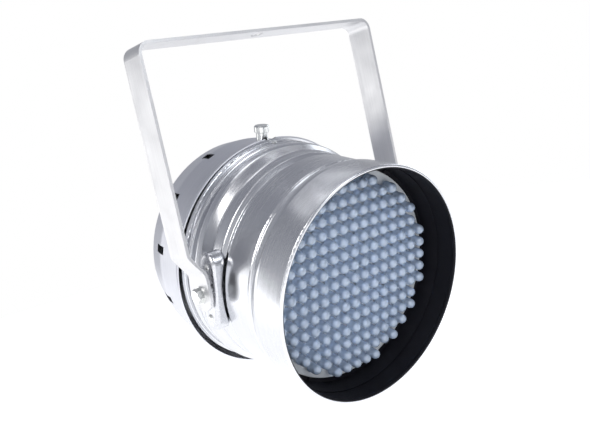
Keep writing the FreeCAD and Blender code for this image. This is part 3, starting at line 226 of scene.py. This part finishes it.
def circuit_board(name, mask, copper, pitch):
    """Lacquered board: tracks that show through the lacquer, and its glossy surface."""
    paint = Paint(name, mask, roughness=0.32, Specular_IOR_Level=0.6)
    x, _, z = paint.split(paint.can_frame())
    grid = paint.join(x, 0.0, z)
    cells = paint.add(
        "ShaderNodeTexBrick",
        {"Vector": grid, "Scale": 1 / pitch, "Mortar Size": 0.09, "Brick Width": 1.0, "Row Height": 0.5},
    ).outputs["Fac"]
    weave = paint.noise(paint.rest, 1500, 2.0)
    cloud = paint.noise(paint.rest, 45, 4.0)
    tone = paint.blend(paint.maths("MULTIPLY", cells, 0.7), mask, copper)
    paint.set("Base Color", paint.blend(paint.span(cloud, 0.0, 0.25), tone, tuple(c * 0.6 for c in mask)))
    paint.set("Roughness", paint.span(weave, 0.26, 0.42))
    height = paint.maths("ADD", cells, paint.maths("MULTIPLY", weave, 0.2))
    paint.set("Normal", paint.bump(height, 0.00004, 0.5))
    return paint.material


def dress(material, *names):
    """Gives CAD nodes a material."""
    for name in names:
        mesh = NODES[name].data
        mesh.materials.clear()
        mesh.materials.append(material)


def paint_hood(material):
    """Gives every face of the can that looks inwards the matt black coat of its hood."""
    mesh = NODES["can_body"].data
    mesh.materials.append(material)
    back = CAN_TO_ROW.inverted()
    turn = back.to_3x3()
    for face in mesh.polygons:
        middle = back @ face.center
        outward = turn @ face.normal
        if outward.x * middle.x + outward.z * middle.z < -0.2 * math.hypot(middle.x, middle.z):
            face.material_index = 1


# ---------------------------------------------------------------- pieces


def piece(name, vertices, faces, materials, faces_material=None, smooth=True):
    mesh = bpy.data.meshes.new(name)
    mesh.from_pydata(vertices, [], faces)
    for material in materials:
        mesh.materials.append(material)
    if faces_material:
        mesh.polygons.foreach_set("material_index", faces_material)
    mesh.polygons.foreach_set("use_smooth", [smooth] * len(faces))
    mesh.update()
    thing = bpy.data.objects.new(name, mesh)
    bpy.context.scene.collection.objects.link(thing)
    return thing


class Builder:
    """Collects lathed shapes of several materials into one mesh."""

    def __init__(self):
        self.vertices, self.faces, self.kinds = [], [], []

    def lathe(self, place, profile, sides, kind=0):
        """Turns (distance along the axis, radius) points about the local Y axis."""
        start = len(self.vertices)
        for along, radius in profile:
            for i in range(sides):
                turn = 2 * math.pi * i / sides
                point = Vector((radius * math.cos(turn), along, radius * math.sin(turn)))
                self.vertices.append(place @ point)
        for ring in range(len(profile) - 1):
            for i in range(sides):
                a, b = start + ring * sides + i, start + ring * sides + (i + 1) % sides
                self.faces.append((a, b, b + sides, a + sides))
                self.kinds.append(kind)
        for ring, flip in ((0, True), (len(profile) - 1, False)):
            loop = [start + ring * sides + i for i in range(sides)]
            self.faces.append(tuple(reversed(loop)) if flip else tuple(loop))
            self.kinds.append(kind)

    def build(self, name, materials):
        return piece(name, self.vertices, self.faces, materials, self.kinds)


def islands(name):
    """Low and high corners, in the can's frame, of the separate solids of a CAD node."""
    mesh = NODES[name].data
    leader = list(range(len(mesh.vertices)))

    def find(i):
        while leader[i] != i:
            leader[i] = leader[leader[i]]
            i = leader[i]
        return i

    places = {}
    for i, vertex in enumerate(mesh.vertices):
        key = tuple(round(c, 6) for c in vertex.co)
        leader[i] = places.setdefault(key, i)
    for edge in mesh.edges:
        a, b = (find(v) for v in edge.vertices)
        leader[a] = b
    groups = {}
    back = CAN_TO_ROW.inverted()
    for i, vertex in enumerate(mesh.vertices):
        groups.setdefault(find(i), []).append(back @ vertex.co)
    boxes = []
    for points in groups.values():
        low = Vector([min(p[i] for p in points) for i in range(3)])
        high = Vector([max(p[i] for p in points) for i in range(3)])
        boxes.append((low, high))
    return boxes


def dome_profile(tip, base, radius):
    """LED outline from its base flange to its domed tip, which points along -Y."""
    barrel = radius - LED_RIM_STEP
    shoulder = tip + barrel
    slope = 0.05 * MM
    step = base - LED_RIM
    points = [(base, 0.2 * MM), (base, radius), (step + slope, radius), (step - slope, barrel)]
    steps = 9
    for i in range(steps + 1):
        turn = math.pi / 2 * i / steps
        points.append((shoulder - barrel * math.sin(turn), max(barrel * math.cos(turn), 0.03 * MM)))
    return points


def make_leds():
    """Clear lenses in place of the CAD's LEDs, each with a silver cup and two posts inside."""
    lens = lens_material()
    chrome = brushed_metal("led_cup_silver", (0.86, 0.87, 0.90), 0.16, scale=3000)
    dark = moulded("led_post_grey", (0.30, 0.32, 0.36), 0.35, metallic=0.6)
    for colour in ("red", "green", "blue"):
        shells, inner = Builder(), Builder()
        for low, high in islands(f"leds_{colour}"):
            middle = (low + high) / 2
            place = CAN_TO_ROW @ Matrix.Translation((middle.x, 0, middle.z))
            tip = low.y
            base = tip + LED_HEIGHT
            radius = (high.x - low.x) / 2
            shells.lathe(place, dome_profile(tip, base, radius), 24)
            cup = [(base - back * MM, wide * MM) for back, wide in CUP_WALL]
            inner.lathe(place, cup, 12)
            for x in (-LED_LEG_APART, LED_LEG_APART):
                leg = place @ Matrix.Translation((x, 0, 0))
                inner.lathe(leg, [(base + 2.4 * MM, 0.3 * MM), (base - CUP_FOOT, 0.45 * MM)], 6, 1)
        lenses = shells.build(f"led_lenses_{colour}", [lens])
        cups = inner.build(f"led_cups_{colour}", [chrome, dark])
        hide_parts(f"leds_{colour}")
        for thing in (lenses, cups):
            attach(thing, "can")


def lens_material():
    """Water-clear epoxy with a faint blue cast, slightly wavy where it left the mould."""
    paint = Paint(
        "clear_led_epoxy",
        (0.66, 0.78, 0.95),
        roughness=0.06,
        IOR=1.52,
        Transmission_Weight=0.5,
        Coat_Weight=0.8,
        Coat_Roughness=0.03,
    )
    wave = paint.noise(paint.rest, 420, 2.0)
    cloud = paint.noise(paint.rest, 80, 3.0)
    paint.set("Base Color", paint.blend(paint.span(cloud, 0.0, 0.5), (0.68, 0.80, 0.97), (0.54, 0.67, 0.88)))
    paint.set("Roughness", paint.span(wave, 0.03, 0.10))
    paint.set("Normal", paint.bump(wave, 0.0001, 0.25))
    return paint.material


# ---------------------------------------------------------------- materials on the frame

dress(spun_metal("spun_aluminium", (0.72, 0.73, 0.76), 0.20), "can_body")
hood_black = moulded("matt_black_paint", (0.003, 0.003, 0.006), 0.6, 900, Specular_IOR_Level=0.2)
paint_hood(hood_black)
dress(spun_metal("cap_aluminium", (0.74, 0.75, 0.80), 0.34, drop=0.003, line=0.25, sheen=0.4), "rear_cap")
dress(brushed_metal("yoke_silver", (0.76, 0.76, 0.77), 0.36, (60, 60, 1), 14), "yoke")
pressed = brushed_metal("pressed_plate", (0.66, 0.67, 0.70), 0.24, (1, 1, 1), 300)
dress(pressed, "side_plate_left", "side_plate_right")
zinc = brushed_metal("zinc_plate", (0.80, 0.81, 0.80), 0.22, (1, 1, 1), 1200, 0.4)
dress(
    zinc,
    "can_rivets",
    "tilt_bolt_left",
    "tilt_bolt_right",
    "head_washers",
    "tilt_spacers",
    "tilt_nuts",
    "cap_screw",
    "screw_tab",
    "tab_nut",
    "hinge_leaf_can",
    "hinge_leaf_cap",
    "hinge_pin",
    "hinge_rivets",
    "tie_rods",
    "panel_screws",
    "gland_locknut",
)
dress(hood_black, "front_ring", "ring_screws")
dress(
    brushed_metal("mill_sheet", (0.70, 0.71, 0.73), 0.38, (1, 40, 1), 30),
    "mounting_disc",
    "chassis_plate",
    "supply_tray",
    "supply_lid",
    "heat_sink",
)
dress(brushed_metal("panel_sheet", (0.20, 0.21, 0.22), 0.42, (1, 40, 40), 30), "control_panel")
dress(circuit_board("pale_board", (0.60, 0.64, 0.68), (0.70, 0.73, 0.76), 0.0131), "led_board")
green = circuit_board("green_board", (0.02, 0.13, 0.06), (0.10, 0.30, 0.12), 0.004)
dress(green, "driver_board", "control_board")
dress(
    moulded("black_plastic", (0.02, 0.02, 0.022), 0.45),
    "dmx_input",
    "dmx_output",
    "dmx_release",
    "fuse_holder",
    "fuse_cap",
    "gland_body",
    "gland_nut",
)
dress(moulded("switch_red", (0.42, 0.03, 0.03), 0.35), "dip_switch")
sliders = [f"dip_slider_{i:02d}" for i in range(1, 11)]
dress(moulded("white_plastic", (0.82, 0.82, 0.80), 0.38), "driver_spacers", "board_spacers", *sliders)
dress(brushed_metal("contact_brass", (0.80, 0.62, 0.28), 0.25, scale=1500), "dmx_pins")
dress(moulded("fuse_glass", (0.80, 0.84, 0.82), 0.08, Transmission_Weight=0.8), "fuse")
dress(moulded("black_rubber", (0.018, 0.018, 0.018), 0.7, 700), "gland_seal", "cable_grommet", "led_cable")
make_leds()


# ---------------------------------------------------------------- studio and camera


def soft_light(name, place, aim, width, height, power, tint=(1, 1, 1)):
    lamp = bpy.data.lights.new(name, "AREA")
    lamp.shape = "RECTANGLE"
    lamp.size, lamp.size_y = width, height
    lamp.energy = power
    lamp.color = tint
    thing = bpy.data.objects.new(name, lamp)
    thing.location = place
    thing.rotation_euler = (Vector(aim) - Vector(place)).to_track_quat("-Z", "Y").to_euler()
    bpy.context.scene.collection.objects.link(thing)


def make_studio():
    """White floor under the object and soft lights round it."""
    low, _ = CAD_BOX
    signs = ((-1, -1), (1, -1), (1, 1), (-1, 1))
    corners = [(x * FLOOR_HALF, y * FLOOR_HALF, low[2] - FLOOR_BELOW) for x, y in signs]
    glow = {"Emission_Color": (1, 1, 1, 1), "Emission_Strength": 0.72}
    paper = moulded("white_paper", (0.8, 0.8, 0.8), 0.9, 300, **glow)
    piece("floor", corners, [(0, 1, 2, 3)], [paper], smooth=False)
    centre = (0, 0, PIVOT.z)
    soft_light("left_box", (-1.5, -0.5, 0.8), centre, 0.7, 1.1, 15, (1.0, 0.98, 0.95))
    soft_light("back_left_card", (-0.95, 1.25, -0.15), centre, 0.45, 0.75, 1.5, (1.0, 0.99, 0.97))
    soft_light("front_box", (0.35, -1.6, 0.9), centre, 0.7, 0.9, 10, (0.95, 0.98, 1.0))
    soft_light("top_box", (0.2, 0.3, 1.3), centre, 1.0, 0.5, 3)
    soft_light("right_box", (1.5, 0.4, 0.2), centre, 0.5, 1.2, 4, (0.92, 0.96, 1.0))
    make_surroundings()


def make_surroundings():
    """White behind the object; a dim room above and paler walls for it to mirror."""
    world = bpy.data.worlds.new("studio")
    world.use_nodes = True
    tree = world.node_tree
    nodes, links = tree.nodes, tree.links
    room = nodes["Background"]
    white = nodes.new("ShaderNodeBackground")
    white.inputs["Color"].default_value = (1, 1, 1, 1)
    way = nodes.new("ShaderNodeTexCoord")
    height = nodes.new("ShaderNodeSeparateXYZ")
    links.new(way.outputs["Generated"], height.inputs[0])
    tones = nodes.new("ShaderNodeValToRGB")
    tones.color_ramp.elements[0].position = 0.0
    tones.color_ramp.elements[0].color = (0.56, 0.57, 0.60, 1)
    tones.color_ramp.elements[1].position = 0.75
    tones.color_ramp.elements[1].color = (0.30, 0.31, 0.35, 1)
    links.new(height.outputs["Z"], tones.inputs["Fac"])
    links.new(tones.outputs["Color"], room.inputs["Color"])
    seen = nodes.new("ShaderNodeLightPath")
    either = nodes.new("ShaderNodeMixShader")
    links.new(seen.outputs["Is Camera Ray"], either.inputs[0])
    links.new(room.outputs[0], either.inputs[1])
    links.new(white.outputs[0], either.inputs[2])
    links.new(either.outputs[0], nodes["World Output"].inputs["Surface"])
    bpy.context.scene.world = world
    bpy.context.scene.view_settings.view_transform = "Standard"


def make_camera():
    lens = bpy.data.cameras.new("camera")
    lens.lens = CAMERA_LENS
    lens.sensor_width = CAMERA_SENSOR
    lens.sensor_fit = "HORIZONTAL"
    thing = bpy.data.objects.new("camera", lens)
    thing.location = CAMERA_PLACE
    thing.rotation_euler = [math.radians(turn) for turn in CAMERA_TURN]
    bpy.context.scene.collection.objects.link(thing)
    bpy.context.scene.camera = thing


make_studio()
make_camera()
